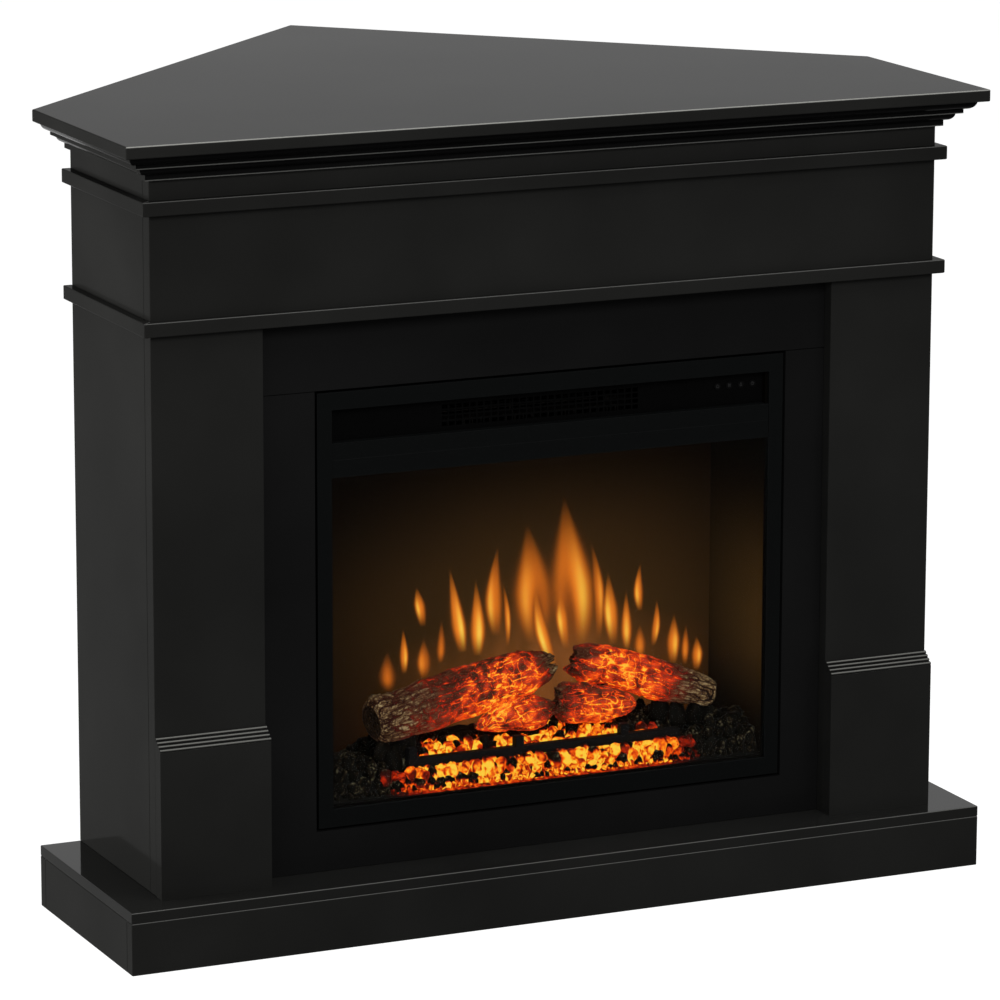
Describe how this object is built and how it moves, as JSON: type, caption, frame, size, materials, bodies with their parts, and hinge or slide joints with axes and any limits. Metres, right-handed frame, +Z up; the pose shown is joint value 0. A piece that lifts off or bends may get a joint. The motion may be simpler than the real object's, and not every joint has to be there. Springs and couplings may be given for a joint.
{
  "type": "corner fireplace",
  "caption": "Black lacquered corner mantel with a right-angled back, moulded shelf edge, pilasters and plinth around a flat electric fire with logs, embers and a glass front.",
  "frame": {"origin": "on the floor, under the middle of the shelf's and plinth's outline", "axes": "+X to the right along the front, +Y back into the room corner, +Z up"},
  "size_m": [1.21, 0.935, 1.05],
  "materials": {
    "lacquer": "black lacquer on fibreboard, satin to gloss",
    "frame_black": "satin black paint",
    "casing": "matt black paint",
    "glass": "clear, polished",
    "button": "satin",
    "circuit": "solder mask",
    "screen": "matt, lit from behind",
    "ember": "moulded resin, lit from inside",
    "bark": "cast resin, painted like bark",
    "iron": "matt black paint",
    "reflector": "bright",
    "motor": "plain",
    "heater": "plain",
    "wheel": "plain",
    "housing": "galvanised",
    "gland": "moulded",
    "screw": "zinc plated"
  },
  "bodies": {
    "mantel": {"top_shelf": "lacquer", "crown_front": "lacquer", "crown_left": "lacquer", "crown_right": "lacquer", "frieze_board": "lacquer", "upper_band_front": "lacquer", "upper_band_left": "lacquer", "upper_band_right": "lacquer", "lower_band_front": "lacquer", "lower_band_left": "lacquer", "lower_band_right": "lacquer", "side_panel_left": "lacquer", "side_panel_right": "lacquer", "pilaster_left": "lacquer", "pilaster_right": "lacquer", "base_block_left": "lacquer", "base_block_right": "lacquer", "header_panel": "lacquer", "surround_panel": "lacquer", "plinth_top": "lacquer", "plinth_front": "lacquer", "plinth_left": "lacquer", "plinth_right": "lacquer", "plinth_rear": "lacquer", "rear_rail": "lacquer", "shelf_gusset": "lacquer", "hearth_board": "lacquer", "bezel": "frame_black", "trim_strip": "frame_black", "left_fascia": "frame_black", "outlet_grille": "frame_black", "control_panel": "frame_black", "case_top": "casing", "case_bottom": "casing", "case_left": "casing", "case_right": "casing", "case_back": "casing", "heater_shelf": "casing", "glass_pane": "glass", "control_board": "circuit", "led_board": "circuit", "flame_screen": "screen", "ember_bed": "ember", "log_left_large": "bark", "log_left_small": "bark", "log_right_large": "bark", "log_right_small": "bark", "grate": "iron", "rotor_motor": "motor", "blower_motor": "motor", "heating_element": "heater", "blower_housing": "housing", "power_gland": "gland", "mounting_screws": "screw"},
    "blower": {"blower_wheel": "wheel"},
    "rotor": {"flame_rotor": "reflector"},
    "standby": {"standby_button": "button"},
    "heat": {"heat_button": "button"},
    "flame": {"flame_button": "button"},
    "timer": {"timer_button": "button"}
  },
  "joints": [
    {"name": "blower_spin", "type": "hinge", "parent": "mantel", "child": "blower", "pos_m": [0, -0.2995, 0.647], "axis": [1, 0, 0], "continuous": true},
    {"name": "rotor_spin", "type": "hinge", "parent": "mantel", "child": "rotor", "pos_m": [0, -0.2035, 0.205], "axis": [1, 0, 0], "continuous": true},
    {"name": "standby_press", "type": "slide", "parent": "mantel", "child": "standby", "axis": [0, 1, 0], "range_m": [0, 0.0008], "stiffness_N_per_m": 1200},
    {"name": "heat_press", "type": "slide", "parent": "mantel", "child": "heat", "axis": [0, 1, 0], "range_m": [0, 0.0008], "stiffness_N_per_m": 1200},
    {"name": "flame_press", "type": "slide", "parent": "mantel", "child": "flame", "axis": [0, 1, 0], "range_m": [0, 0.0008], "stiffness_N_per_m": 1200},
    {"name": "timer_press", "type": "slide", "parent": "mantel", "child": "timer", "axis": [0, 1, 0], "range_m": [0, 0.0008], "stiffness_N_per_m": 1200}
  ]
}
